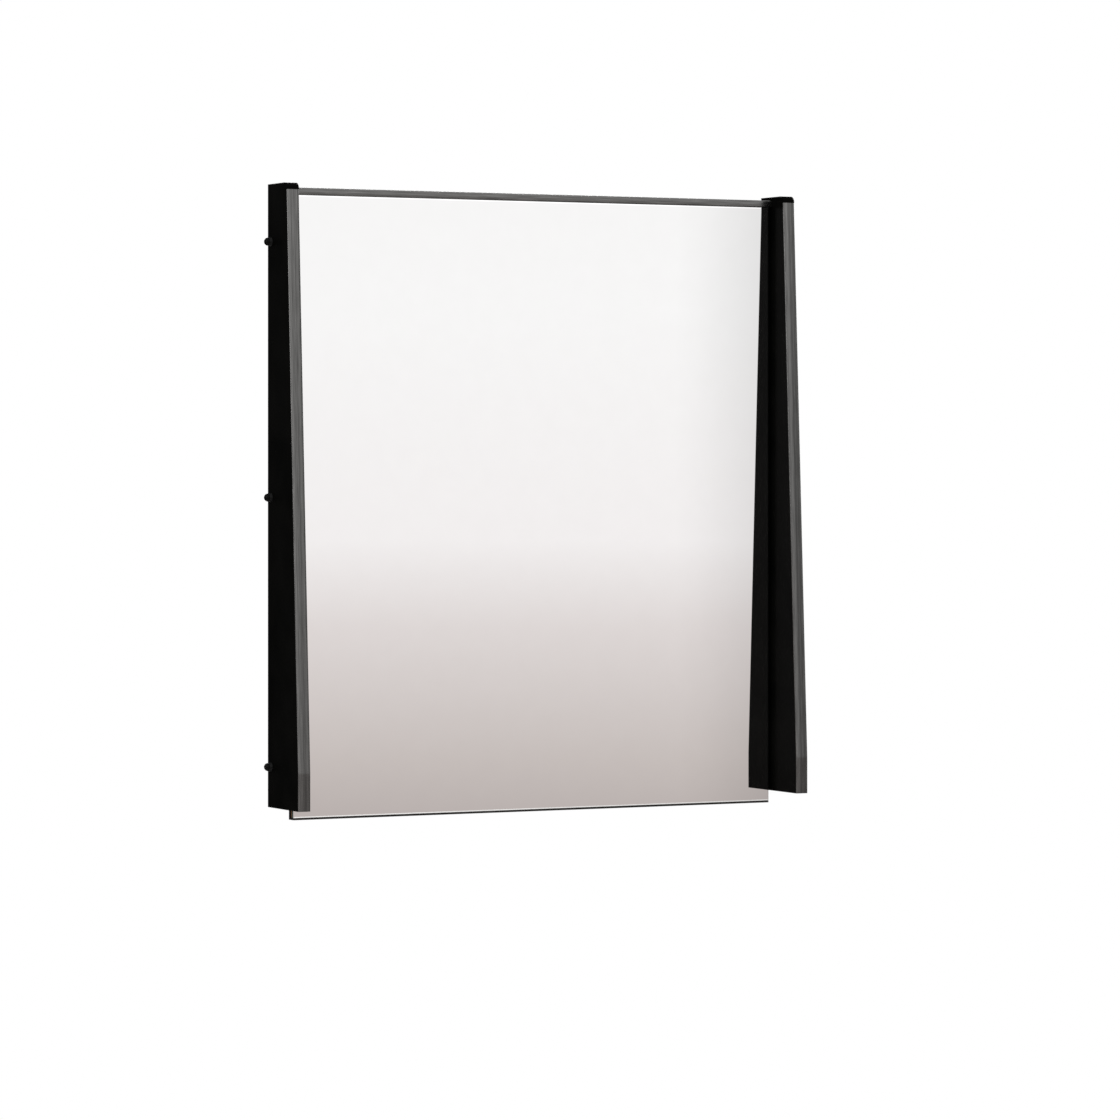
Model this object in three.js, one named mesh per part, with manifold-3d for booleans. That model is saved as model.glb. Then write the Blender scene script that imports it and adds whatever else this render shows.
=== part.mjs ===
// Wall-hung mirror between two tapered side boards.
//
// Millimetres. x runs across the mirror from its middle, y is 0 on the wall and negative
// towards the room, z is up. The pieces are placed with z = 0 at the underside of the side
// boards, and the whole model is then lowered so that its origin is the middle of the wall
// rail's back face, where the mirror is fastened to the wall.

import * as THREE from 'three';
import { mergeVertices } from 'three/addons/utils/BufferGeometryUtils.js';
import Module from 'manifold-3d';

const wasm = await Module();
wasm.setup();

// ---------------------------------------------------------------- driving dimensions

const WIDTH = 800; // over both side boards
const HEIGHT = 860; // of a side board
const BOARD = 18; // thickness of a side board
const DEPTH_TOP = 65; // of a side board, strip included
const DEPTH_BOTTOM = 104;
const PLUMB = 52; // height of the upright part of the front, below the taper
const NOSE_RADIUS = 9.5; // front top corner of a side board
const STRIP = 2; // thickness of the front strips
const WALL_GAP = 1.5; // between the boards and the wall, filled by the bumpers

const FRAME_DEPTH = 20; // stiles
const STILE_WIDTH = 30;
const BATTEN_DEPTH = 12;
const BATTEN_HEIGHT = 60;
const MIDDLE_BATTEN_RISE = 12; // its underside above the middle bolts
const BACKING = 6; // backing board
const TAPE = 1.5;
const GLASS = 5;

const TOP_BOARD = 10; // thickness of the board over the glass
const TOP_BOARD_DROP = 5; // its top lies this far under the side boards' tops
const GLASS_DROP = 14; // the glass hangs this far below the side boards
const GLASS_SIDE_GAP = 6; // shadow gap between glass and side board
const GLASS_TOP_GAP = 0.5;
const GLASS_ARRIS = 0.8; // ground edge
const BACKING_INSET = 2; // backing board behind the glass, each side
const LEDGE = 3; // thickness of the bottom ledge

const TAPE_COUNT = 4;
const TAPE_WIDTH = 25;
const TAPE_SIDE_GAP = 61.5; // from the outer strips to the edges of the backing board
const TAPE_END_GAP = 45; // from the ends of the glass

const BOLT_FROM_BOTTOM = 56; // lower dome-head bolts, to the ends of the side board
const BOLT_FROM_TOP = 79.5;
const MIDDLE_BOLT_DROP = 2.4; // middle bolts, below the middle of the side board
const BOLT_HEAD = 11.5; // diameter
const BOLT_COLLAR = 4; // upright part of the head, below its dome
const BOLT_SHANK = 5.6;
const BOLT_TIP_CHAMFER = 0.8;
const SOCKET_FLATS = 4; // hexagon socket, across flats
const SOCKET_DEPTH = 3.5;
const INSERT = { body: 9, flange: 13, bore: 6.2, length: 14, rim: 1 };

const CLEAT_SHEET = 2;
const CLEAT_FLANGE = 25;
const CLEAT_LIP = 13;
const CLEAT_LENGTH = 140;
const CLEAT_FROM_RAIL_END = 30;
const CLEAT_SCREW_PITCH = 80;
const RAIL_END_GAP = 52; // from the rail to the stiles
const SLOT = { width: 5.5, length: 12, fromRailEnd: 70, pitch: 150 };

const BUMPER_DIAMETER = 16;
const BUMPER_FROM_BOTTOM = 40;
const BUMPER_FROM_TOP = 145; // below the top board

const LEDGE_SCREW = { head: 5.6, rise: 2.2, shank: 3, length: 19 };
const LEDGE_SCREW_COUNT = 4;
const LEDGE_SCREW_FROM_END = 96;
const TOP_SCREW = { head: 8, rise: 3, shank: 4, length: 35 };
const TOP_SCREW_COUNT = 3;
const TOP_SCREW_FROM_END = 102;
const FRAME_SCREW = { head: 8, rise: 4, shank: 4.5, length: 56 };
const FRAME_SCREW_FROM_EDGE = 15; // from the edge of the batten that it holds
const CLEAT_SCREW = { head: 8, rise: 2.4, shank: 3.8 };
const CLEAT_SCREW_COVER = 2; // wood left beyond its tip

// clearances
const HOLE_CLEARANCE = 0.3; // round a shank, a head or an insert, on the radius
const BOLT_CLEARANCE = 0.4; // round a bolt in its side board, on the radius
const HEAD_SUNK = 0.3; // a counterbored head lies this far under the surface
const END_CLEARANCE = 1; // between a fastener's tip and the bottom of its hole
const BOLT_TIP_GAP = 1; // between a bolt's tip and the end of its insert
const LIP_PLAY = 0.3; // between the two hooked lips
const LIP_END_GAP = 1; // under the cleats' lips
const THROUGH = 1; // how far a cutter runs past a face

// facets
const BOLT_SIDES = 20;
const SCREW_SIDES = 12;
const BUMPER_SIDES = 24;
const DOME_STEPS = 5;
const NOSE_STEPS = 8;
const SLOT_END_STEPS = 8;

// ---------------------------------------------------------------- derived places

const half = WIDTH / 2;
const inner = half - BOARD; // inner face of a side board
const stileInner = inner - STILE_WIDTH;
const glassHalf = inner - GLASS_SIDE_GAP;

const backY = -WALL_GAP;
const frameFrontY = backY - FRAME_DEPTH;
const battenBackY = frameFrontY + BATTEN_DEPTH;
const battenMidY = (frameFrontY + battenBackY) / 2;
const backingFrontY = frameFrontY - BACKING;
const glassBackY = backingFrontY - TAPE;
const glassFrontY = glassBackY - GLASS;
const boltY = backY - FRAME_DEPTH / 2; // in the middle of the stile

const topBoardTop = HEIGHT - TOP_BOARD_DROP;
const topBoardUnder = topBoardTop - TOP_BOARD;
const glassTop = topBoardUnder - GLASS_TOP_GAP;
const glassBottom = -GLASS_DROP;

const boltLevels = [
  BOLT_FROM_BOTTOM,
  HEIGHT / 2 - MIDDLE_BOLT_DROP,
  HEIGHT - BOLT_FROM_TOP,
];
const topBattenZ = topBoardUnder - BATTEN_HEIGHT; // undersides
const middleBattenZ = boltLevels[1] + MIDDLE_BATTEN_RISE;

// the hooked bars: the wall rail's lip stands in front of the cleats' lips
const cleatDepth = (-battenBackY + 2 * CLEAT_SHEET + LIP_PLAY) / 2;
const cleatWebTop = topBattenZ + (BATTEN_HEIGHT - CLEAT_FLANGE) / 2;
const railWebZ = cleatWebTop - 2 * CLEAT_SHEET - CLEAT_LIP; // underside of the rail's web
const railMiddleZ = railWebZ + (CLEAT_SHEET - CLEAT_FLANGE) / 2; // of its back face
const railHalf = stileInner - RAIL_END_GAP;
const cleatX = railHalf - CLEAT_FROM_RAIL_END - CLEAT_LENGTH / 2; // middle of a cleat

// ---------------------------------------------------------------- finishes

const matteBlack = { color: 0x0b0b0a, roughness: 0.55, metalness: 0 };
const graphite = { color: 0x5f5e5d, roughness: 0.38, metalness: 0.35 };
const silvered = { color: 0xe9e6e6, roughness: 0.02, metalness: 1 };
const darkLedge = { color: 0x1a1818, roughness: 0.4, metalness: 0.6 };
const blackBolt = { color: 0x0a0a0a, roughness: 0.3, metalness: 0.7 };
const blackPaint = { color: 0x141312, roughness: 0.7, metalness: 0 };
const hardboard = { color: 0x6d513a, roughness: 0.8, metalness: 0 };
const foam = { color: 0xb9b8b4, roughness: 0.9, metalness: 0 };
const brass = { color: 0xb08d4a, roughness: 0.35, metalness: 1 };
const aluminium = { color: 0xb4b6b8, roughness: 0.35, metalness: 1 };
const zinc = { color: 0xa3a6a8, roughness: 0.35, metalness: 1 };
const rubber = { color: 0x1b1b1b, roughness: 0.9, metalness: 0 };

const model = new THREE.Group();

function add(name, geometry, finish) {
  const mesh = new THREE.Mesh(geometry, new THREE.MeshStandardMaterial(finish));
  mesh.name = name;
  model.add(mesh);
}

// ---------------------------------------------------------------- shapes

const X = new THREE.Vector3(1, 0, 0);
const Y = new THREE.Vector3(0, 1, 0);
const Z = new THREE.Vector3(0, 0, 1);
const up = Z;
const down = Z.clone().negate();
const toWall = Y;
const toRoom = Y.clone().negate();

// Evenly spaced places from -end to end.
function spaced(count, end) {
  return Array.from({ length: count }, (_, index) => -end + (2 * end * index) / (count - 1));
}

// A box between two corners, given as [low, high] on each axis.
function block([x0, x1], [y0, y1], [z0, z1]) {
  const geometry = new THREE.BoxGeometry(x1 - x0, y1 - y0, z1 - z0);
  return geometry.translate((x0 + x1) / 2, (y0 + y1) / 2, (z0 + z1) / 2);
}

// A section drawn in y and z, run along x from x0 to x1.
function bar(section, [x0, x1]) {
  const geometry = new THREE.ExtrudeGeometry(section, { depth: x1 - x0, bevelEnabled: false });
  const axes = new THREE.Matrix4().makeBasis(Y, Z, X);
  return geometry.applyMatrix4(axes).translate(x0, 0, 0);
}

function sectionOf(points) {
  return new THREE.Shape(points.map(([y, z]) => new THREE.Vector2(y, z)));
}

// A round piece: profile points are [radius, height], and the axis runs along `direction`
// from `at`, where the height is 0.
function turned(profile, sides, at, direction) {
  const points = profile.map(([radius, height]) => new THREE.Vector2(radius, height));
  const turn = new THREE.Quaternion().setFromUnitVectors(Y, direction);
  const geometry = new THREE.LatheGeometry(points, sides).applyQuaternion(turn);
  return geometry.translate(...at);
}

// A pin's profile, or its hole's: from `start` to `end` on the axis.
function pin(radius, start, end) {
  return [[0, start], [radius, start], [radius, end], [0, end]];
}

function solid(geometry) {
  const bare = geometry.clone();
  bare.deleteAttribute('normal');
  bare.deleteAttribute('uv');
  const merged = mergeVertices(bare);
  const mesh = new wasm.Mesh({
    numProp: 3,
    vertProperties: new Float32Array(merged.attributes.position.array),
    triVerts: new Uint32Array(merged.index.array),
  });
  return new wasm.Manifold(mesh);
}

function cut(geometry, cutters) {
  let body = solid(geometry);
  for (const cutter of cutters) body = body.subtract(solid(cutter));
  const mesh = body.getMesh();
  const result = new THREE.BufferGeometry();
  result.setAttribute('position', new THREE.BufferAttribute(mesh.vertProperties, 3));
  result.setIndex(new THREE.BufferAttribute(mesh.triVerts, 1));
  return result;
}

// ---------------------------------------------------------------- screws and their holes

// The head stands on its seat at height 0 and the shank runs down from it.
function screwProfile({ head, rise, shank, length }) {
  return [
    [0, -length],
    [shank / 2, shank - length],
    [shank / 2, 0],
    [head / 2, 0],
    [head / 2, rise],
    [0, rise],
  ];
}

function screw(size, at, direction) {
  return turned(screwProfile(size), SCREW_SIDES, at, direction);
}

// The hole for that screw's shank, open above its seat.
function shankHole({ shank, length }, at, direction) {
  const radius = shank / 2 + HOLE_CLEARANCE;
  const profile = pin(radius, -length - END_CLEARANCE, THROUGH);
  return turned(profile, SCREW_SIDES, at, direction);
}

// The flat-bottomed recess for its head, open above the surface.
function headRecess({ head, rise }, at, direction) {
  const profile = pin(head / 2 + HOLE_CLEARANCE, 0, rise + HEAD_SUNK + THROUGH);
  return turned(profile, SCREW_SIDES, at, direction);
}

// ---------------------------------------------------------------- side boards

// Points of the front line, from the bottom up to where the nose begins. `inset` moves the
// line into the board, square to each of its two runs.
function frontLine(inset) {
  const bottomY = backY - DEPTH_BOTTOM;
  const topY = backY - DEPTH_TOP;
  const lean = Math.atan2(topY - bottomY, HEIGHT - PLUMB);
  const noseZ = HEIGHT - NOSE_RADIUS;
  const kneeZ = PLUMB - inset * Math.tan(lean / 2);
  const slantY = (z) => bottomY + inset / Math.cos(lean) + (z - PLUMB) * Math.tan(lean);
  return [[bottomY + inset, 0], [bottomY + inset, kneeZ], [slantY(noseZ), noseZ]];
}

// The rounded corner between the top of the front line and the board's top.
function noseLine(start) {
  const centreY = start[0] + NOSE_RADIUS;
  const points = [];
  for (let step = 0; step <= NOSE_STEPS; step += 1) {
    const angle = (step / NOSE_STEPS) * (Math.PI / 2);
    const y = centreY - NOSE_RADIUS * Math.cos(angle);
    points.push([y, start[1] + NOSE_RADIUS * Math.sin(angle)]);
  }
  return points;
}

function sideBoardSection() {
  const front = frontLine(0);
  const nose = noseLine(front[front.length - 1]);
  const section = sectionOf([[backY, 0], ...frontLine(STRIP), ...nose, [backY, HEIGHT]]);
  for (const level of boltLevels) {
    const hole = new THREE.Path();
    hole.absarc(boltY, level, BOLT_SHANK / 2 + BOLT_CLEARANCE, 0, 2 * Math.PI);
    section.holes.push(hole);
  }
  return section;
}

function frontStripSection() {
  return sectionOf([...frontLine(0), ...frontLine(STRIP).reverse()]);
}

const SIDES = [
  { side: 'left', sign: -1, outward: X.clone().negate(), span: [-half, -inner] },
  { side: 'right', sign: 1, outward: X, span: [inner, half] },
];

for (const { side, span } of SIDES) {
  add(`${side}_side_board`, bar(sideBoardSection(), span), matteBlack);
  add(`${side}_front_strip`, bar(frontStripSection(), span), graphite);
}

// ---------------------------------------------------------------- dome-head bolts and inserts

// Height 0 is the outer face of the side board.
function boltProfile() {
  const radius = BOLT_HEAD / 2;
  const tip = BOLT_TIP_GAP - INSERT.length - BOARD;
  const points = [
    [0, tip],
    [BOLT_SHANK / 2 - BOLT_TIP_CHAMFER, tip],
    [BOLT_SHANK / 2, tip + BOLT_TIP_CHAMFER],
    [BOLT_SHANK / 2, 0],
    [radius, 0],
  ];
  for (let step = 0; step < DOME_STEPS; step += 1) {
    const angle = (step / DOME_STEPS) * (Math.PI / 2);
    points.push([radius * Math.cos(angle), BOLT_COLLAR + radius * Math.sin(angle)]);
  }
  points.push([0, BOLT_COLLAR + radius]);
  return points;
}

function hexagonSocket(at, direction) {
  const corner = SOCKET_FLATS / Math.sqrt(3);
  const crown = BOLT_COLLAR + BOLT_HEAD / 2;
  return turned(pin(corner, crown - SOCKET_DEPTH, crown + THROUGH), 6, at, direction);
}

function wingBolt(at, direction) {
  const blank = turned(boltProfile(), BOLT_SIDES, at, direction);
  return cut(blank, [hexagonSocket(at, direction)]);
}

// Height 0 is the outer face of the stile, and the insert runs down into it.
function insertProfile() {
  const bore = INSERT.bore / 2;
  return [
    [bore, -INSERT.length],
    [INSERT.body / 2, -INSERT.length],
    [INSERT.body / 2, -INSERT.rim],
    [INSERT.flange / 2, -INSERT.rim],
    [INSERT.flange / 2, 0],
    [bore, 0],
    [bore, -INSERT.length],
  ];
}

function insertHole(at, direction) {
  const body = pin(INSERT.body / 2 + HOLE_CLEARANCE, -INSERT.length - END_CLEARANCE, THROUGH);
  const rim = pin(INSERT.flange / 2 + HOLE_CLEARANCE, -INSERT.rim, THROUGH);
  return [body, rim].map((profile) => turned(profile, BOLT_SIDES, at, direction));
}

for (const { side, sign, outward } of SIDES) {
  boltLevels.forEach((level, index) => {
    const bolt = wingBolt([sign * half, boltY, level], outward);
    const insert = turned(insertProfile(), BOLT_SIDES, [sign * inner, boltY, level], outward);
    add(`${side}_wing_bolt_${index + 1}`, bolt, blackBolt);
    add(`${side}_threaded_insert_${index + 1}`, insert, brass);
  });
}

// ---------------------------------------------------------------- back frame

const frameScrewLevels = {
  top_batten: topBoardUnder - FRAME_SCREW_FROM_EDGE,
  middle_batten: middleBattenZ + FRAME_SCREW_FROM_EDGE,
  bottom_batten: FRAME_SCREW_FROM_EDGE,
};

// A frame screw's seat lies in the stile, under the recess for its head.
function frameScrewSeat(sign, level) {
  const seat = inner - FRAME_SCREW.rise - HEAD_SUNK;
  return [sign * seat, battenMidY, level];
}

function stile(sign, outward) {
  const span = sign < 0 ? [-inner, -stileInner] : [stileInner, inner];
  const cutters = boltLevels.flatMap((level) => insertHole([sign * inner, boltY, level], outward));
  for (const level of Object.values(frameScrewLevels)) {
    const seat = frameScrewSeat(sign, level);
    cutters.push(shankHole(FRAME_SCREW, seat, outward), headRecess(FRAME_SCREW, seat, outward));
  }
  return cut(block(span, [frameFrontY, backY], [0, topBoardUnder]), cutters);
}

for (const { side, sign, outward } of SIDES) {
  add(`${side}_stile`, stile(sign, outward), blackPaint);
  Object.values(frameScrewLevels).forEach((level, index) => {
    const fastener = screw(FRAME_SCREW, frameScrewSeat(sign, level), outward);
    add(`${side}_frame_screw_${index + 1}`, fastener, zinc);
  });
}

// A batten between the stiles, from its underside up, with pilot holes for its screws.
function batten(name, z, holes) {
  const endHoles = SIDES.map(({ sign, outward }) =>
    shankHole(FRAME_SCREW, frameScrewSeat(sign, frameScrewLevels[name]), outward));
  const depth = [frameFrontY, battenBackY];
  const blank = block([-stileInner, stileInner], depth, [z, z + BATTEN_HEIGHT]);
  add(name, cut(blank, [...endHoles, ...holes]), blackPaint);
}

const topScrewZ = topBoardTop - TOP_SCREW.rise - HEAD_SUNK;
const topScrewSeats = spaced(TOP_SCREW_COUNT, inner - TOP_SCREW_FROM_END)
  .map((x) => [x, battenMidY, topScrewZ]);

const ledgeFlangeY = (battenBackY + frameFrontY + LEDGE) / 2; // middle of its back flange
const ledgeScrewSeats = spaced(LEDGE_SCREW_COUNT, glassHalf - LEDGE_SCREW_FROM_END)
  .map((x) => [x, ledgeFlangeY, -LEDGE]);

const cleatScrew = { ...CLEAT_SCREW, length: CLEAT_SHEET + BATTEN_DEPTH - CLEAT_SCREW_COVER };

function cleatScrewSeats(sign) {
  const z = cleatWebTop + CLEAT_FLANGE / 2;
  return spaced(2, CLEAT_SCREW_PITCH / 2)
    .map((x) => [sign * cleatX + x, battenBackY + CLEAT_SHEET, z]);
}

batten('top_batten', topBattenZ, [
  ...topScrewSeats.map((seat) => shankHole(TOP_SCREW, seat, up)),
  ...SIDES.flatMap(({ sign }) => cleatScrewSeats(sign))
    .map((seat) => shankHole(cleatScrew, seat, toWall)),
]);
batten('middle_batten', middleBattenZ, []);
batten('bottom_batten', 0, ledgeScrewSeats.map((seat) => shankHole(LEDGE_SCREW, seat, down)));

// ---------------------------------------------------------------- top board

const topStripBackY = glassFrontY + STRIP;

function topBoard() {
  const blank = block([-inner, inner], [topStripBackY, backY], [topBoardUnder, topBoardTop]);
  const cutters = topScrewSeats.flatMap((seat) => [
    shankHole(TOP_SCREW, seat, up),
    headRecess(TOP_SCREW, seat, up),
  ]);
  return cut(blank, cutters);
}

const topStrip = block([-inner, inner], [glassFrontY, topStripBackY], [topBoardUnder, topBoardTop]);
add('top_board', topBoard(), matteBlack);
add('top_front_strip', topStrip, graphite);
topScrewSeats.forEach((seat, index) => {
  add(`top_board_screw_${index + 1}`, screw(TOP_SCREW, seat, up), zinc);
});

// ---------------------------------------------------------------- glass, tape and backing

// A rectangle in x and z with ground arrises front and back.
function glassPane() {
  const outline = new THREE.Shape([
    new THREE.Vector2(-glassHalf, glassBottom),
    new THREE.Vector2(glassHalf, glassBottom),
    new THREE.Vector2(glassHalf, glassTop),
    new THREE.Vector2(-glassHalf, glassTop),
  ]);
  const geometry = new THREE.ExtrudeGeometry(outline, {
    depth: GLASS - 2 * GLASS_ARRIS,
    bevelThickness: GLASS_ARRIS,
    bevelSize: GLASS_ARRIS,
    bevelOffset: -GLASS_ARRIS,
    bevelSegments: 1,
  });
  const axes = new THREE.Matrix4().makeBasis(X, Z, toRoom);
  return geometry.applyMatrix4(axes).translate(0, glassBackY - GLASS_ARRIS, 0);
}

const backingHalf = glassHalf - BACKING_INSET;
const backing = block(
  [-backingHalf, backingHalf],
  [backingFrontY, frameFrontY],
  [glassBottom, glassTop],
);
add('mirror_glass', glassPane(), silvered);
add('backing_board', backing, hardboard);
const tapeX = backingHalf - TAPE_SIDE_GAP - TAPE_WIDTH / 2; // middle of the outer strips
spaced(TAPE_COUNT, tapeX).forEach((x, index) => {
  const strip = block(
    [x - TAPE_WIDTH / 2, x + TAPE_WIDTH / 2],
    [glassBackY, backingFrontY],
    [glassBottom + TAPE_END_GAP, glassTop - TAPE_END_GAP],
  );
  add(`mounting_tape_${index + 1}`, strip, foam);
});

// ---------------------------------------------------------------- bottom ledge

// Z-shaped: a leg under the glass, a leg up behind it, and a flange under the frame.
function ledgeSection() {
  const legBackY = frameFrontY + LEDGE;
  return sectionOf([
    [glassFrontY, glassBottom - LEDGE],
    [legBackY, glassBottom - LEDGE],
    [legBackY, -LEDGE],
    [battenBackY, -LEDGE],
    [battenBackY, 0],
    [frameFrontY, 0],
    [frameFrontY, glassBottom],
    [glassFrontY, glassBottom],
  ]);
}

const ledgeBar = bar(ledgeSection(), [-glassHalf, glassHalf]);
const ledgeHoles = ledgeScrewSeats.map((seat) => shankHole(LEDGE_SCREW, seat, down));
add('bottom_ledge', cut(ledgeBar, ledgeHoles), darkLedge);
ledgeScrewSeats.forEach((seat, index) => {
  add(`ledge_screw_${index + 1}`, screw(LEDGE_SCREW, seat, down), zinc);
});

// ---------------------------------------------------------------- hanging cleats and wall rail

// One hooked bar: its flange lies on y = 0 below the web, and its lip stands up in front.
function hookedSection(lip) {
  return [
    [0, -CLEAT_FLANGE],
    [0, CLEAT_SHEET],
    [CLEAT_SHEET - cleatDepth, CLEAT_SHEET],
    [CLEAT_SHEET - cleatDepth, CLEAT_SHEET + lip],
    [-cleatDepth, CLEAT_SHEET + lip],
    [-cleatDepth, 0],
    [-CLEAT_SHEET, 0],
    [-CLEAT_SHEET, -CLEAT_FLANGE],
  ];
}

// The cleat is that bar turned over, with its flange on the battens.
function cleatSection() {
  const points = hookedSection(CLEAT_LIP - LIP_END_GAP);
  return sectionOf(points.map(([y, z]) => [battenBackY - y, cleatWebTop - z]));
}

function railSection() {
  return sectionOf(hookedSection(CLEAT_LIP).map(([y, z]) => [y, railWebZ + z]));
}

// A slot with round ends for a wall screw, long side across.
function slotCutter(x) {
  const radius = SLOT.width / 2;
  const reach = SLOT.length / 2 - radius;
  const outline = new THREE.Shape();
  outline.absarc(reach, 0, radius, -Math.PI / 2, Math.PI / 2);
  outline.absarc(-reach, 0, radius, Math.PI / 2, (3 * Math.PI) / 2);
  const depth = CLEAT_SHEET + 2 * THROUGH;
  const form = { depth, bevelEnabled: false, curveSegments: SLOT_END_STEPS };
  const geometry = new THREE.ExtrudeGeometry(outline, form);
  const axes = new THREE.Matrix4().makeBasis(X, Z, toRoom);
  return geometry.applyMatrix4(axes).translate(x, THROUGH, railWebZ - CLEAT_FLANGE / 2);
}

for (const { side, sign } of SIDES) {
  const middle = sign * cleatX;
  const blank = bar(cleatSection(), [middle - CLEAT_LENGTH / 2, middle + CLEAT_LENGTH / 2]);
  const seats = cleatScrewSeats(sign);
  const holes = seats.map((seat) => shankHole(cleatScrew, seat, toWall));
  add(`${side}_hanging_cleat`, cut(blank, holes), aluminium);
  seats.forEach((seat, index) => {
    add(`${side}_cleat_screw_${index + 1}`, screw(cleatScrew, seat, toWall), zinc);
  });
}

const outerSlot = railHalf - SLOT.fromRailEnd;
const slotPlaces = [outerSlot, outerSlot - SLOT.pitch].flatMap((x) => [-x, x]);
add('wall_rail', cut(bar(railSection(), [-railHalf, railHalf]), slotPlaces.map(slotCutter)), aluminium);

// ---------------------------------------------------------------- wall bumpers

const stileMiddle = (inner + stileInner) / 2;
const bumperLevels = { lower: BUMPER_FROM_BOTTOM, upper: topBoardUnder - BUMPER_FROM_TOP };
for (const { side, sign } of SIDES) {
  for (const [place, level] of Object.entries(bumperLevels)) {
    const profile = pin(BUMPER_DIAMETER / 2, 0, WALL_GAP);
    const at = [sign * stileMiddle, backY, level];
    add(`${side}_${place}_bumper`, turned(profile, BUMPER_SIDES, at, toWall), rubber);
  }
}

model.position.z = -railMiddleZ;
const shutterMirror = new THREE.Group();
shutterMirror.add(model);

export default shutterMirror;
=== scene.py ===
import math

import bmesh
import bpy
from mathutils import Matrix, Vector


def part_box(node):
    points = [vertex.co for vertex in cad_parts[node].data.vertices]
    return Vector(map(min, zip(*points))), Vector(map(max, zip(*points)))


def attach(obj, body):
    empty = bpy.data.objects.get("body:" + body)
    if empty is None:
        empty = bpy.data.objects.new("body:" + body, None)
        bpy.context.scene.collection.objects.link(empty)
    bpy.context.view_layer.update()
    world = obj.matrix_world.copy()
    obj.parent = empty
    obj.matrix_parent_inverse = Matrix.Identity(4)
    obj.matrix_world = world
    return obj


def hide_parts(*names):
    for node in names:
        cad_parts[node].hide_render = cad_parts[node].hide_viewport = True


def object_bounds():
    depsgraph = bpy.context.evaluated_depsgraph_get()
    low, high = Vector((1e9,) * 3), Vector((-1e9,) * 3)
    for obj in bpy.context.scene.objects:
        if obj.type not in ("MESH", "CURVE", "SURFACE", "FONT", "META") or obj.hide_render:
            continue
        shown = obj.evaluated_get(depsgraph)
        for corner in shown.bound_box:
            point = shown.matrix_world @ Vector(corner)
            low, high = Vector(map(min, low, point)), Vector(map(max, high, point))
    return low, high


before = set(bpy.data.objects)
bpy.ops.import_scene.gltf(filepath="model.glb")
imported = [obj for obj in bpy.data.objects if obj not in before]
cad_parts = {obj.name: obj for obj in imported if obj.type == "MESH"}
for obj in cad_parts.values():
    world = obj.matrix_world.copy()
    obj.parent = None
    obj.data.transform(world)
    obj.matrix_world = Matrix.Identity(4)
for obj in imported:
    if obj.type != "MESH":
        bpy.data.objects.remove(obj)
bpy.context.view_layer.update()
cad_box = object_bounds()

MM = 0.001

# ------------------------------------------------------------------ camera, as the photograph

PHOTO = 1120.0  # pixels across and down
FOCAL = 4786.5  # pixels
HORIZON_ROW = 455.2
YAW = math.radians(27.085)  # to the right of straight at the wall
SENSOR = 36.0  # mm
EYE_FROM_CORNER = Vector((-2.651, -6.070, 0.486))  # from the left board's outer back foot


def make_camera():
    low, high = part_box("left_side_board")
    corner = Vector((low.x, high.y, low.z))
    data = bpy.data.cameras.new("photo_camera")
    data.sensor_width = SENSOR
    data.lens = FOCAL / PHOTO * SENSOR
    data.shift_y = (HORIZON_ROW - PHOTO / 2) / PHOTO
    camera = bpy.data.objects.new("photo_camera", data)
    camera.location = corner + EYE_FROM_CORNER
    camera.rotation_euler = (math.radians(90), 0, -YAW)
    bpy.context.scene.collection.objects.link(camera)
    bpy.context.scene.camera = camera


# ------------------------------------------------------------------ node trees


class Nodes:
    """A short way to write a node tree: n("Type", socket values or links, properties)."""

    def __init__(self, tree):
        self.tree = tree
        tree.nodes.clear()

    def __call__(self, kind, inputs=None, **properties):
        node = self.tree.nodes.new(kind)
        for name, value in properties.items():
            setattr(node, name, value)
        for key, value in (inputs or {}).items():
            self.put(node.inputs[key], value)
        return node

    def put(self, socket, value):
        if isinstance(value, bpy.types.NodeSocket):
            self.tree.links.new(value, socket)
        elif isinstance(value, tuple) and len(value) == 3 and socket.type == "RGBA":
            socket.default_value = (*value, 1.0)
        else:
            socket.default_value = value

    def ramp(self, factor, *stops):
        """A colour ramp with stops of (position, colour)."""
        node = self("ShaderNodeValToRGB", {"Fac": factor})
        elements = node.color_ramp.elements
        while len(elements) < len(stops):
            elements.new(0.5)
        for element, (position, colour) in zip(elements, stops):
            element.position = position
            element.color = (*colour, 1.0)
        return node.outputs["Color"]

    def span(self, value, low, high, start=0.0, end=1.0, **properties):
        """Maps a value from start..end to low..high and holds it there."""
        inputs = {"Value": value, "From Min": start, "From Max": end}
        inputs.update({"To Min": low, "To Max": high})
        return self("ShaderNodeMapRange", inputs, **properties).outputs["Result"]

    def maths(self, operation, first, second):
        node = self("ShaderNodeMath", {0: first, 1: second}, operation=operation)
        return node.outputs["Value"]

    def place(self, scale):
        """The point on the object, in metres, times a scale for each axis."""
        point = self("ShaderNodeTexCoord").outputs["Object"]
        return self("ShaderNodeMapping", {"Vector": point, "Scale": scale}).outputs["Vector"]

    def noise(self, scale, detail=3.0, roughness=0.55):
        inputs = {"Vector": self.place(scale), "Scale": 1.0, "Detail": detail}
        node = self("ShaderNodeTexNoise", {**inputs, "Roughness": roughness})
        return node.outputs["Fac"]

    def bump(self, height, depth, strength):
        inputs = {"Height": height, "Distance": depth, "Strength": strength}
        return self("ShaderNodeBump", inputs).outputs["Normal"]


def material(name, build):
    """A node material: build(nodes) gives the Principled sockets' values or links."""
    made = bpy.data.materials.new(name)
    made.use_nodes = True
    nodes = Nodes(made.node_tree)
    shader = nodes("ShaderNodeBsdfPrincipled", build(nodes))
    nodes("ShaderNodeOutputMaterial", {"Surface": shader.outputs["BSDF"]})
    return made


def grey(value):
    return (value, value, value)


def warm_grey(value):
    return (value, 0.988 * value, 0.965 * value)


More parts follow.
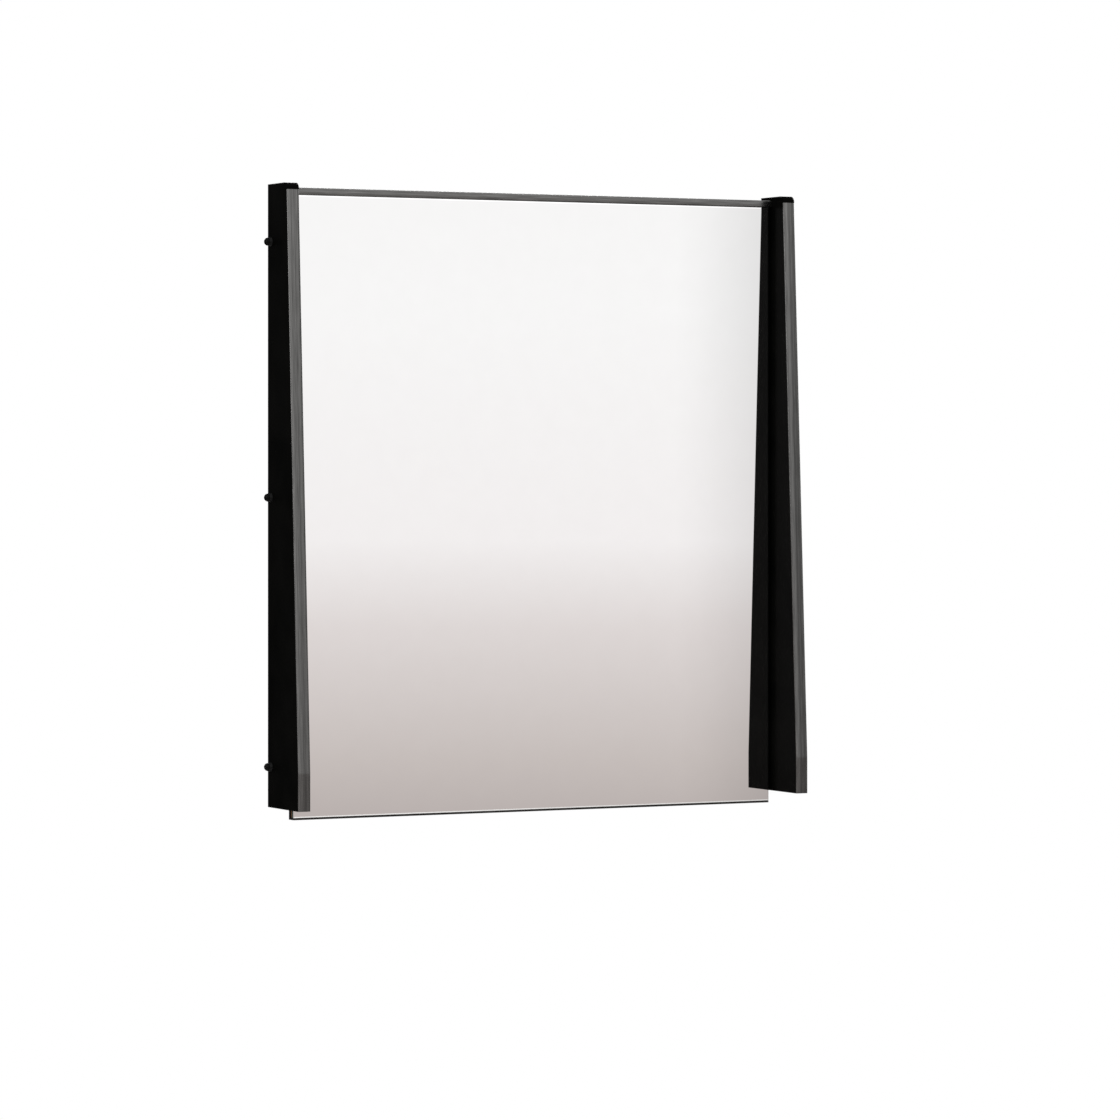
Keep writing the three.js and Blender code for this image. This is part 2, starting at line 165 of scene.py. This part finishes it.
def along(axis, fine, coarse):
    """Noise scales, per metre, for a grain that runs along one axis (0 x, 1 y, 2 z)."""
    scale = [fine, fine, fine]
    scale[axis] = coarse
    return tuple(scale)


def straight(axis, fine, coarse):
    """Noise scales for grain on a leaning strip: the same at any y, so its lines stay straight."""
    scale = [fine, 0.0, fine]
    scale[axis] = coarse
    return tuple(scale)


# ------------------------------------------------------------------ finishes
# Noise scales are per metre, and bump depths are in metres.


def matte_black(n):
    pores = n.noise(grey(1400.0), detail=4.0)
    haze = n.noise(grey(14.0), detail=2.0)
    dark, light = (0.0011, 0.0011, 0.0010), (0.0026, 0.0025, 0.0023)
    return {
        "Base Color": n.ramp(haze, (0.3, dark), (0.7, light)),
        "Roughness": n.span(haze, 0.3, 0.4),
        "Specular IOR Level": 0.009,
        "Normal": n.bump(pores, 0.00004, 0.5),
    }


def graphite(axis, dark, light):
    """Grey metallic facing between two greys, with straight grain along x or z."""

    def build(n):
        grain = n.noise(straight(axis, 900.0, 22.0), detail=5.0)
        bands = n.noise(straight(axis, 260.0, 0.6), detail=2.0)
        both = n.maths("MULTIPLY", grain, bands)
        return {
            "Base Color": n.ramp(both, (0.10, warm_grey(dark)), (0.42, warm_grey(light))),
            "Metallic": 1.0,
            "Roughness": n.span(grain, 0.17, 0.25),
            "Normal": n.bump(grain, 0.00003, 0.6),
        }

    return build


def silver(n):
    haze = n.noise(grey(30.0), detail=2.0)
    dark, light = (0.925, 0.918, 0.916), (0.935, 0.929, 0.927)
    return {
        "Base Color": n.ramp(haze, (0.3, dark), (0.7, light)),
        "Metallic": 1.0,
        "Roughness": n.span(haze, 0.004, 0.010),
    }


def ground_edge(n):
    frost = n.noise(grey(2500.0), detail=3.0)
    dark, light = (0.05, 0.075, 0.066), (0.09, 0.125, 0.11)
    return {
        "Base Color": n.ramp(frost, (0.3, dark), (0.7, light)),
        "Roughness": n.span(frost, 0.25, 0.5),
        "Coat Weight": 0.3,
        "Normal": n.bump(frost, 0.00004, 0.6),
    }


def mirror_back_paint(n):
    orange_peel = n.noise(grey(220.0), detail=2.0)
    dark, light = (0.12, 0.125, 0.13), (0.15, 0.155, 0.16)
    return {
        "Base Color": n.ramp(orange_peel, (0.3, dark), (0.7, light)),
        "Roughness": n.span(orange_peel, 0.4, 0.55),
        "Normal": n.bump(orange_peel, 0.00006, 0.5),
    }


def anodised_black(n):
    grain = n.noise(along(0, 900.0, 9.0), detail=4.0)
    dark, light = (0.010, 0.009, 0.009), (0.022, 0.020, 0.019)
    return {
        "Base Color": n.ramp(grain, (0.3, dark), (0.7, light)),
        "Metallic": 0.6,
        "Roughness": n.span(grain, 0.3, 0.45),
        "Normal": n.bump(grain, 0.00003, 0.5),
    }


def black_oxide(gloss):
    """Blackened steel; a higher gloss where it has been rubbed."""

    def build(n):
        speckle = n.noise(grey(2600.0), detail=3.0)
        return {
            "Base Color": n.ramp(speckle, (0.3, grey(0.0008)), (0.7, grey(0.0018))),
            "Specular IOR Level": gloss,
            "Roughness": n.span(speckle, 0.25, 0.4),
            "Normal": n.bump(speckle, 0.00003, 0.4),
        }

    return build


def stained_wood(axis):
    """Black-stained softwood with its grain along an axis."""

    def build(n):
        fibres = n.noise(along(axis, 700.0, 12.0), detail=6.0)
        rings = n.noise(along(axis, 60.0, 1.5), detail=3.0)
        tone = n.maths("MULTIPLY", fibres, rings)
        dark, light = (0.0035, 0.0032, 0.003), (0.017, 0.0145, 0.0125)
        return {
            "Base Color": n.ramp(tone, (0.12, dark), (0.42, light)),
            "Specular IOR Level": 0.2,
            "Roughness": n.span(fibres, 0.55, 0.8),
            "Normal": n.bump(fibres, 0.0001, 0.6),
        }

    return build


def hardboard(n):
    fibres = n.noise(grey(900.0), detail=8.0, roughness=0.7)
    flecks = n.noise((160.0, 160.0, 420.0), detail=4.0)
    tone = n.maths("MULTIPLY", fibres, flecks)
    dark, light = (0.085, 0.043, 0.022), (0.23, 0.13, 0.068)
    return {
        "Base Color": n.ramp(tone, (0.12, dark), (0.42, light)),
        "Specular IOR Level": 0.25,
        "Roughness": n.span(fibres, 0.65, 0.85),
        "Normal": n.bump(fibres, 0.00012, 0.7),
    }


def foam(n):
    cells = n("ShaderNodeTexVoronoi", {"Vector": n.place(grey(1100.0)), "Scale": 1.0})
    distance = cells.outputs["Distance"]
    return {
        "Base Color": n.ramp(distance, (0.1, grey(0.32)), (0.7, grey(0.5))),
        "Roughness": 0.9,
        "Normal": n.bump(distance, 0.0002, 0.7),
    }


def metal(dark, light, axis, smooth, rough):
    """A drawn metal with fine lines along an axis, or an even one where the axis is None."""

    def build(n):
        scale = grey(1500.0) if axis is None else along(axis, 1500.0, 10.0)
        lines = n.noise(scale, detail=4.0)
        return {
            "Base Color": n.ramp(lines, (0.3, dark), (0.7, light)),
            "Metallic": 1.0,
            "Roughness": n.span(lines, smooth, rough),
            "Normal": n.bump(lines, 0.00003, 0.5),
        }

    return build


def rubber(n):
    skin = n.noise(grey(1800.0), detail=3.0)
    return {
        "Base Color": n.ramp(skin, (0.3, grey(0.008)), (0.7, grey(0.016))),
        "Specular IOR Level": 0.3,
        "Roughness": n.span(skin, 0.6, 0.8),
        "Normal": n.bump(skin, 0.00006, 0.5),
    }


BOARD = material("matte_black_lacquer", matte_black)
UPRIGHT_STRIP = material("graphite_upright_grain", graphite(2, 0.063, 0.202))
CROSS_STRIP = material("graphite_cross_grain", graphite(0, 0.05, 0.27))
SILVER = material("silvered_glass_front", silver)
GLASS_EDGE = material("ground_glass_edge", ground_edge)
BACK_PAINT = material("mirror_back_paint", mirror_back_paint)
LEDGE = material("black_anodised", anodised_black)
BOLT = material("black_oxide_steel", black_oxide(0.06))
BOLT_RUBBED = material("black_oxide_steel_rubbed", black_oxide(0.14))
UPRIGHT_WOOD = material("stained_wood_upright", stained_wood(2))
CROSS_WOOD = material("stained_wood_across", stained_wood(0))
HARDBOARD = material("raw_hardboard", hardboard)
FOAM = material("foam_tape", foam)
TURNED_BRASS = metal((0.38, 0.23, 0.06), (0.52, 0.33, 0.10), None, 0.28, 0.4)
BRASS = material("turned_brass", TURNED_BRASS)
ALUMINIUM = material("extruded_aluminium", metal(grey(0.40), grey(0.54), 0, 0.3, 0.45))
ZINC_PLATE = metal((0.30, 0.32, 0.33), (0.44, 0.45, 0.45), None, 0.28, 0.42)
ZINC = material("zinc_plate", ZINC_PLATE)
RUBBER = material("black_rubber", rubber)

# ------------------------------------------------------------------ carried-over nodes

FINISHES = {
    "side_board": BOARD,
    "top_board": BOARD,
    "front_strip": UPRIGHT_STRIP,
    "bottom_ledge": LEDGE,
    "stile": UPRIGHT_WOOD,
    "batten": CROSS_WOOD,
    "backing_board": HARDBOARD,
    "mounting_tape": FOAM,
    "threaded_insert": BRASS,
    "hanging_cleat": ALUMINIUM,
    "wall_rail": ALUMINIUM,
    "screw": ZINC,
    "wing_bolt": BOLT,
    "mirror_glass": SILVER,
    "bumper": RUBBER,
}
ARRISES = {  # radius of the rounded edges
    "side_board": 0.8 * MM,
    "top_board": 0.5 * MM,
    "bottom_ledge": 0.4 * MM,
    "stile": 0.6 * MM,
    "batten": 0.8 * MM,
    "backing_board": 0.3 * MM,
    "hanging_cleat": 0.25 * MM,
    "wall_rail": 0.25 * MM,
    "bumper": 0.3 * MM,
}
ARRIS_STEPS = 3
SHARP = math.radians(30)  # an edge that turns more than this stays sharp
FLAT = math.radians(0.5)  # faces that turn less than this become one
WELD = 0.01 * MM  # points nearer than this become one


def smoothing():
    """A modifier tree that welds a node's mesh and shades it smooth between its sharp edges."""
    tree = bpy.data.node_groups.new("weld_and_smooth", "GeometryNodeTree")
    for way in ("INPUT", "OUTPUT"):
        tree.interface.new_socket("Geometry", in_out=way, socket_type="NodeSocketGeometry")
    n = Nodes(tree)
    start = n("NodeGroupInput").outputs[0]
    welded = n("GeometryNodeMergeByDistance", {"Geometry": start, "Distance": WELD})
    angle = n("GeometryNodeInputMeshEdgeAngle").outputs["Unsigned Angle"]
    sharp = n("ShaderNodeMath", {0: angle, 1: SHARP}, operation="GREATER_THAN").outputs["Value"]
    whole = {"Geometry": welded.outputs["Geometry"], "Shade Smooth": True}
    smooth = n("GeometryNodeSetShadeSmooth", whole, domain="FACE").outputs["Geometry"]
    edges = {"Geometry": smooth, "Selection": sharp, "Shade Smooth": False}
    kept = n("GeometryNodeSetShadeSmooth", edges, domain="EDGE").outputs["Geometry"]
    n("NodeGroupOutput", {0: kept})
    return tree


SMOOTHING = smoothing()


def matching(table, node):
    """The entry whose word is in the node's name; the longest word wins."""
    words = [word for word in table if word in node]
    return table[max(words, key=len)] if words else None


def finish_node(name, piece):
    piece.data.materials.clear()
    piece.data.materials.append(matching(FINISHES, name))
    piece.modifiers.new("smooth", "NODES").node_group = SMOOTHING
    flat = piece.modifiers.new("flat", "DECIMATE")
    flat.decimate_type = "DISSOLVE"
    flat.angle_limit = FLAT
    radius = matching(ARRISES, name)
    if radius is None or "screw" in name:
        return
    bevel = piece.modifiers.new("arris", "BEVEL")
    bevel.width = radius
    bevel.segments = ARRIS_STEPS
    bevel.limit_method = "ANGLE"
    bevel.angle_limit = SHARP
    even = piece.modifiers.new("even", "WEIGHTED_NORMAL")
    even.weight = 100
    even.keep_sharp = True


# ------------------------------------------------------------------ pieces made here


def link(name, mesh_data, *materials):
    piece = bpy.data.objects.new(name, mesh_data)
    for each in materials:
        mesh_data.materials.append(each)
    bpy.context.scene.collection.objects.link(piece)
    return piece


def to_object(name, shape, *materials):
    data = bpy.data.meshes.new(name)
    bmesh.ops.recalc_face_normals(shape, faces=shape.faces)
    shape.to_mesh(data)
    shape.free()
    return link(name, data, *materials)


def shade(piece):
    """Smooth between sharp edges, with the flat faces kept flat."""
    piece.data.shade_smooth()
    piece.data.set_sharp_from_angle(angle=SHARP)
    piece.modifiers.new("normals", "WEIGHTED_NORMAL").keep_sharp = True


def stands_for(piece, node):
    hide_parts(node)
    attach(piece, "mirror_assembly")


def loft(rings):
    """A closed bmesh through rings of 3-D points, with a flat face on both ends."""
    shape = bmesh.new()
    made = [[shape.verts.new(point) for point in ring] for ring in rings]
    count = len(rings[0])
    for lower, upper in zip(made, made[1:]):
        for step in range(count):
            after = (step + 1) % count
            shape.faces.new([lower[step], lower[after], upper[after], upper[step]])
    shape.faces.new(made[0][::-1])
    shape.faces.new(made[-1])
    return shape


def column(outline, low, high):
    """A bmesh of an (x, y) outline that stands from one height to another."""
    return loft([[(x, y, z) for x, y in outline] for z in (low, high)])


def turn(profile, sides):
    """A bmesh turned about z from (radius, height) points, closed on the axis at both ends."""
    shape = bmesh.new()
    rings = []
    for radius, height in profile:
        if radius == 0:
            rings.append([shape.verts.new((0, 0, height))])
            continue
        ring = []
        for step in range(sides):
            turned = 2 * math.pi * step / sides
            point = (radius * math.cos(turned), radius * math.sin(turned), height)
            ring.append(shape.verts.new(point))
        rings.append(ring)
    for lower, upper in zip(rings, rings[1:]):
        for step in range(sides):
            after = (step + 1) % sides
            corners = [lower[step % len(lower)], lower[after % len(lower)],
                       upper[after % len(upper)], upper[step % len(upper)]]
            shape.faces.new(list(dict.fromkeys(corners)))
    return shape


def arc(centre, radius, start, end, steps):
    """Points on an arc in (radius, height), between two angles in degrees."""
    angles = (math.radians(start + (end - start) * step / steps) for step in range(steps + 1))
    return [(centre[0] + radius * math.cos(a), centre[1] + radius * math.sin(a)) for a in angles]


def cut_out(piece, cutter):
    """Subtracts one object from another and leaves the result as a plain mesh."""
    boolean = piece.modifiers.new("recess", "BOOLEAN")
    boolean.operation = "DIFFERENCE"
    boolean.solver = "EXACT"
    boolean.object = cutter
    graph = bpy.context.evaluated_depsgraph_get()
    result = bpy.data.meshes.new_from_object(piece.evaluated_get(graph))
    piece.modifiers.clear()
    piece.data = result
    bpy.data.objects.remove(cutter)


# Front strips: a thin facing, slightly crowned across its width, with round front arrises.
STRIP_THICKNESS = 2 * MM
STRIP_CROWN = 0.3 * MM  # how far an upright strip's front lies back at its shoulders
TOP_CROWN = 0.12 * MM  # the same for the top strip
STRIP_ARRIS = 1.0 * MM
CROWN_STEPS = 12
ARC_STEPS = 5
PLUMB = 52 * MM  # upright part of the front line, below the taper
KNEE_REACH = 1.5 * MM  # the bend at its top is spread this far up and down


def crowned_section(low, high, crown_depth):
    """The facing's section as (place across, depth behind the front), from edge to edge."""
    half = (high - low) / 2
    flat = half - STRIP_ARRIS
    corner = arc((flat, crown_depth + STRIP_ARRIS), STRIP_ARRIS, 0, -90, ARC_STEPS)
    right = [(half, STRIP_THICKNESS), *corner]
    crown = []
    for step in range(1, CROWN_STEPS):
        place = 1 - 2 * step / CROWN_STEPS
        crown.append((flat * place, crown_depth * place ** 2))
    left = [(-place, depth) for place, depth in reversed(right)]
    middle = (low + high) / 2
    return [(middle + place, depth) for place, depth in [*right, *crown, *left]]


def front_line(low, high, inset):
    """The upright strip's stations in (y, z), moved into the board by the inset."""
    run_back = high.y - low.y - STRIP_THICKNESS
    lean = math.atan2(run_back, high.z - low.z - PLUMB)
    knee = low.z + PLUMB - inset * math.tan(lean / 2)
    front = low.y + inset
    top = low.y + run_back + inset / math.cos(lean)
    after = KNEE_REACH / (high.z - knee)
    return [
        (front, low.z),
        (front, knee - KNEE_REACH),
        (front + (top - front) * after, knee + KNEE_REACH),
        (top, high.z),
    ]


def make_front_strip(side):
    node = f"{side}_front_strip"
    low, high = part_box(node)
    section = crowned_section(low.x, high.x, STRIP_CROWN)
    runs = [front_line(low, high, depth) for _, depth in section]
    rings = []
    for station in range(len(runs[0])):
        rings.append([(place, *run[station]) for (place, _), run in zip(section, runs)])
    strip = to_object(f"{side}_graphite_strip", loft(rings), UPRIGHT_STRIP)
    shade(strip)
    stands_for(strip, node)


def make_top_strip():
    low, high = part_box("top_front_strip")
    section = crowned_section(low.z, high.z, TOP_CROWN)
    rings = [[(x, low.y + depth, z) for z, depth in section] for x in (low.x, high.x)]
    strip = to_object("top_graphite_strip", loft(rings), CROSS_STRIP)
    shade(strip)
    stands_for(strip, "top_front_strip")


# Dome-head bolt: z runs out of the side board, 0 is the board's face.
BOLT_RADIUS = 5.75 * MM
BOLT_COLLAR = 4.0 * MM
BOLT_FOOT = 6.8 * MM  # radius of its flared foot on the board
BOLT_FOOT_RIM = 0.4 * MM
BOLT_SHANK = 2.8 * MM
BOLT_TIP = 0.8 * MM  # bevel at the end of the shank
BOLT_TIP_GAP = 1.0 * MM  # from there to the end of its insert
BOLT_SIDES = 64
DOME_END = 84  # degrees up from the collar, where the dome's last cap starts
DOME_STEPS = 16
SOCKET_FLATS = 4.0 * MM
SOCKET_DEPTH = 3.5 * MM
SOCKET_MOUTH = 2.45 * MM  # radius of its countersunk mouth
CUTTER_SPARE = 1.0 * MM  # how far the socket's cutter stands out of the dome


def dome_bolt_data(length):
    """The mesh of one bolt, with its shank `length` long under the head."""
    crown = BOLT_COLLAR + BOLT_RADIUS
    profile = [(0, -length), (BOLT_SHANK - BOLT_TIP, -length), (BOLT_SHANK, BOLT_TIP - length)]
    profile += [(BOLT_SHANK, 0.0)]
    profile += [(BOLT_FOOT - BOLT_FOOT_RIM / 2, 0.0), (BOLT_FOOT, BOLT_FOOT_RIM / 2)]
    profile += [(BOLT_FOOT, BOLT_FOOT_RIM), (BOLT_RADIUS, BOLT_COLLAR)]
    profile += arc((0, BOLT_COLLAR), BOLT_RADIUS, 0, DOME_END, DOME_STEPS)
    profile += [(0, crown)]
    bolt = to_object("bolt_blank", turn(profile, BOLT_SIDES))
    rim = BOLT_COLLAR + math.sqrt(BOLT_RADIUS ** 2 - SOCKET_MOUTH ** 2)
    mouth = [(0, rim - SOCKET_MOUTH), (2 * SOCKET_MOUTH, rim + SOCKET_MOUTH)]
    mouth += [(0, rim + SOCKET_MOUTH)]
    cut_out(bolt, to_object("mouth_cutter", turn(mouth, BOLT_SIDES)))
    reach = SOCKET_FLATS / math.sqrt(3)
    corners = [math.radians(60 * step) for step in range(6)]
    hexagon = [(reach * math.cos(a), reach * math.sin(a)) for a in corners]
    socket = column(hexagon, crown - SOCKET_DEPTH, crown + CUTTER_SPARE)
    cut_out(bolt, to_object("socket_cutter", socket))
    shade(bolt)
    data = bolt.data
    for polygon in data.polygons:
        polygon.material_index = 1 if 0 < polygon.center.z < BOLT_COLLAR else 0
    bpy.data.objects.remove(bolt)
    return data


# Pan head with a cross recess: z runs out of the head, 0 is its seat.
RECESS_WIDTH = 0.18  # of the head's diameter
RECESS_REACH = 0.30
RECESS_DEPTH = 0.65  # of the head's height
RECESS_TOP = 1.5  # where its cutter ends, over the head
HEAD_SEAT = 0.96  # of the head's radius, inside its lower bevel
HEAD_BEVEL = 0.12  # of the head's height
HEAD_SIDE = 0.4  # where the dome starts
DOME_ANGLES = (15, 30, 45, 60, 75)
THREAD_RINGS = 10
THREAD_END = 0.6  # of the shank's diameter, below the seat
NECK_START = 0.4
NECK = 0.95  # of the shank's radius
GROOVE = 0.78
POINT = 0.75
SCREW_SIDES = 36


def pan_screw_data(head, rise, shank, length):
    """The mesh of one screw with a domed head, a cross recess and a pointed, ringed shank."""
    radius = head / 2
    core = shank / 2
    profile = [(0, -length), (core * POINT, shank - length)]
    pitch = (length - shank * (1 + THREAD_END)) / THREAD_RINGS
    for ring in range(THREAD_RINGS):
        height = shank - length + ring * pitch
        profile += [(core, height + 0.3 * pitch), (core * GROOVE, height + 0.9 * pitch)]
    profile += [(core * NECK, -NECK_START * shank), (core * NECK, 0.0)]
    profile += [(radius * HEAD_SEAT, 0.0), (radius, HEAD_BEVEL * rise), (radius, HEAD_SIDE * rise)]
    for angle in DOME_ANGLES:
        turned = math.radians(angle)
        height = rise * (HEAD_SIDE + (1 - HEAD_SIDE) * math.sin(turned))
        profile += [(radius * math.cos(turned), height)]
    profile += [(0, rise)]
    screw = to_object("screw_blank", turn(profile, SCREW_SIDES))
    w, r = RECESS_WIDTH * head / 2, RECESS_REACH * head  # half the slot's width, and its reach
    cross = [(w, w), (w, r), (-w, r), (-w, w), (-r, w), (-r, -w),
             (-w, -w), (-w, -r), (w, -r), (w, -w), (r, -w), (r, w)]
    recess = column(cross, rise * (1 - RECESS_DEPTH), rise * RECESS_TOP)
    cut_out(screw, to_object("cross_cutter", recess))
    shade(screw)
    data = screw.data
    bpy.data.objects.remove(screw)
    return data


def stand(node, data, finishes, at, direction):
    """One piece that stands at a point, its z along the direction, in place of a node."""
    piece = link(f"{node}_made", data.copy(), *finishes)
    piece.modifiers.new("normals", "WEIGHTED_NORMAL").keep_sharp = True
    turned = Vector((0, 0, 1)).rotation_difference(Vector(direction)).to_matrix().to_4x4()
    piece.matrix_world = Matrix.Translation(at) @ turned
    stands_for(piece, node)


def middle(node):
    low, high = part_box(node)
    return (low + high) / 2


def make_bolts():
    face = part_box("right_side_board")[1].x
    insert_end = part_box("right_threaded_insert_1")[0].x
    data = dome_bolt_data(face - insert_end - BOLT_TIP_GAP)
    for side, sign in (("left", -1), ("right", 1)):
        for number in (1, 2, 3):
            node = f"{side}_wing_bolt_{number}"
            at = middle(node)
            at.x = sign * face
            stand(node, data, (BOLT, BOLT_RUBBED), at, (sign, 0, 0))


# Screws whose heads show: name, numbers, diameter and height of head, diameter of shank (mm),
# and the way the head faces.
SCREWS = (
    ("top_board_screw", (1, 2, 3), 8.0, 3.0, 4.0, (0, 0, 1)),
    ("ledge_screw", (1, 2, 3, 4), 5.6, 2.2, 3.0, (0, 0, -1)),
    ("left_cleat_screw", (1, 2), 8.0, 2.4, 3.8, (0, 1, 0)),
    ("right_cleat_screw", (1, 2), 8.0, 2.4, 3.8, (0, 1, 0)),
)


def make_screws():
    for stem, numbers, head, rise, shank, direction in SCREWS:
        low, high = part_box(f"{stem}_1")
        whole = max(high - low)
        data = pan_screw_data(head * MM, rise * MM, shank * MM, whole - rise * MM)
        for number in numbers:
            node = f"{stem}_{number}"
            seat = middle(node) + Vector(direction) * (whole / 2 - rise * MM)
            stand(node, data, (ZINC,), seat, direction)


FRONT_ARRIS = 1.5 * MM  # of the glass: its width on the face
FRONT_ARRIS_DEPTH = 0.32 * MM
BACK_ARRIS = 0.5 * MM


def pane_outline(low, high, inset, y):
    left, right = low.x + inset, high.x - inset
    bottom, top = low.z + inset, high.z - inset
    return [(left, y, bottom), (right, y, bottom), (right, y, top), (left, y, top)]


def make_glass():
    """The pane: silvered front and front arrises, ground edges, painted back."""
    low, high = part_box("mirror_glass")
    rings = [
        pane_outline(low, high, FRONT_ARRIS, low.y),
        pane_outline(low, high, 0, low.y + FRONT_ARRIS_DEPTH),
        pane_outline(low, high, 0, high.y - BACK_ARRIS),
        pane_outline(low, high, BACK_ARRIS, high.y),
    ]
    pane = to_object("silvered_pane", loft(rings), SILVER, GLASS_EDGE, BACK_PAINT)
    for polygon in pane.data.polygons:
        if polygon.normal.y < -0.5:
            polygon.material_index = 0
        elif polygon.normal.y > 0.99:
            polygon.material_index = 2
        else:
            polygon.material_index = 1
    stands_for(pane, "mirror_glass")


# ------------------------------------------------------------------ floor, world and lamps

FLOOR_DROP = 1.05  # the mirror hangs this far above the floor
FLOOR_RADIUS = 4.0
FLOOR_SIDES = 96
FLOOR_FADE = (1.4, 3.6)  # where the floor starts to fade into the background, and where it ends


def make_floor():
    low, high = cad_box
    shape = bmesh.new()
    rim = []
    for step in range(FLOOR_SIDES):
        turned = math.radians(360 * step / FLOOR_SIDES)
        point = (FLOOR_RADIUS * math.cos(turned), FLOOR_RADIUS * math.sin(turned), 0)
        rim.append(shape.verts.new(point))
    shape.faces.new(rim)
    floor = to_object("pale_floor", shape)
    floor.location = (0, (low.y + high.y) / 2, low.z - FLOOR_DROP)
    made = bpy.data.materials.new("pale_floor")
    made.use_nodes = True
    n = Nodes(made.node_tree)
    point = n("ShaderNodeTexCoord").outputs["Object"]
    away = n("ShaderNodeVectorMath", {0: point}, operation="LENGTH").outputs["Value"]
    faded = n.span(away, 0.0, 1.0, *FLOOR_FADE, interpolation_type="SMOOTHSTEP")
    grain = n.noise(grey(60.0), detail=4.0)
    tone = n.ramp(grain, (0.3, (0.72, 0.71, 0.70)), (0.7, (0.77, 0.76, 0.75)))
    plaster = n("ShaderNodeBsdfPrincipled", {"Base Color": tone, "Roughness": 0.7})
    clear = n("ShaderNodeBsdfTransparent")
    mixed = n("ShaderNodeMixShader", {0: faded, 1: plaster.outputs[0], 2: clear.outputs[0]})
    n("ShaderNodeOutputMaterial", {"Surface": mixed.outputs[0]})
    floor.data.materials.append(made)


# The room that the mirror and the strips reflect, by the direction looked in (x right, y back
# to the wall, z up, as parts of a direction of length 1).
ROOM_HEIGHTS = (-0.33, 0.03)  # z where the colours below start and end
ROOM_COLOURS = (
    (0.0, (0.62, 0.60, 0.59)),
    (0.5, (0.38, 0.345, 0.335)),
    (0.667, (0.42, 0.375, 0.365)),
    (0.740, (0.60, 0.55, 0.53)),
    (0.817, (0.78, 0.735, 0.725)),
    (0.867, (0.95, 0.93, 0.93)),
    (1.0, (1.0, 1.0, 1.0)),
)
BEHIND = (1.0, 0.12, 0.0, 0.8)  # brightness falls from 1 to 0.12 over y from 0 to 0.8
OVERHEAD = (1.0, 1.3, 0.06, 0.17)  # and rises from 1 to 1.3 over z from 0.06 to 0.17
ASIDE = ((0.478, 1.0), (0.5, 0.72), (0.6, 0.36), (0.92, 0.95))  # x, and brightness there


def make_world():
    """White to the camera. To all else a room, dimmer low down, behind and to the right."""
    world = bpy.data.worlds.new("studio")
    bpy.context.scene.world = world
    world.use_nodes = True
    n = Nodes(world.node_tree)
    direction = n("ShaderNodeTexCoord").outputs["Generated"]
    parts = n("ShaderNodeSeparateXYZ", {0: direction}).outputs
    room = n.ramp(n.span(parts["Z"], 0.0, 1.0, *ROOM_HEIGHTS), *ROOM_COLOURS)
    behind = n.span(parts["Y"], *BEHIND)
    aside = n.ramp(parts["X"], *((place, grey(value)) for place, value in ASIDE))
    overhead = n.span(parts["Z"], *OVERHEAD)
    bright = n.maths("MULTIPLY", n.maths("MULTIPLY", behind, aside), overhead)
    lit = n("ShaderNodeBackground", {"Color": room, "Strength": bright}).outputs[0]
    seen = n("ShaderNodeBackground", {"Color": (1, 1, 1), "Strength": 1.0}).outputs[0]
    to_camera = n("ShaderNodeLightPath").outputs["Is Camera Ray"]
    both = n("ShaderNodeMixShader", {0: to_camera, 1: lit, 2: seen})
    n("ShaderNodeOutputWorld", {"Surface": both.outputs[0]})


# Soft round lamps: degrees to the right of the mirror's front, degrees up, distance, size, watts.
LAMPS = {
    "key": (-10, 18, 3.5, 1.4, 34),
    "left": (-82, 14, 3.2, 1.3, 18),
    "right": (84, 14, 3.2, 1.3, 22),
    "rear": (160, 14, 3.2, 1.6, 50),
}
OUT_OF_THE_GLASS = ("key",)  # lamps that the mirror would show as a disc from its front


def make_lamp(name, azimuth, elevation, distance, size, watts):
    data = bpy.data.lights.new(name, "AREA")
    data.shape = "DISK"
    data.size = size
    data.energy = watts
    piece = bpy.data.objects.new(name, data)
    turned, raised = math.radians(azimuth), math.radians(elevation)
    flat = math.cos(raised)
    away = Vector((math.sin(turned) * flat, -math.cos(turned) * flat, math.sin(raised)))
    piece.location = middle("mirror_glass") + away * distance
    piece.rotation_euler = (-away).to_track_quat("-Z", "Y").to_euler()
    piece.visible_glossy = name not in OUT_OF_THE_GLASS
    bpy.context.scene.collection.objects.link(piece)


make_camera()
for node_name, node_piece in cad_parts.items():
    finish_node(node_name, node_piece)
for board_side in ("left", "right"):
    make_front_strip(board_side)
make_top_strip()
make_bolts()
make_screws()
make_glass()
make_floor()
make_world()
for lamp_name, lamp_settings in LAMPS.items():
    make_lamp(lamp_name, *lamp_settings)

bpy.context.scene.view_settings.view_transform = "Standard"

bpy.context.view_layer.update()
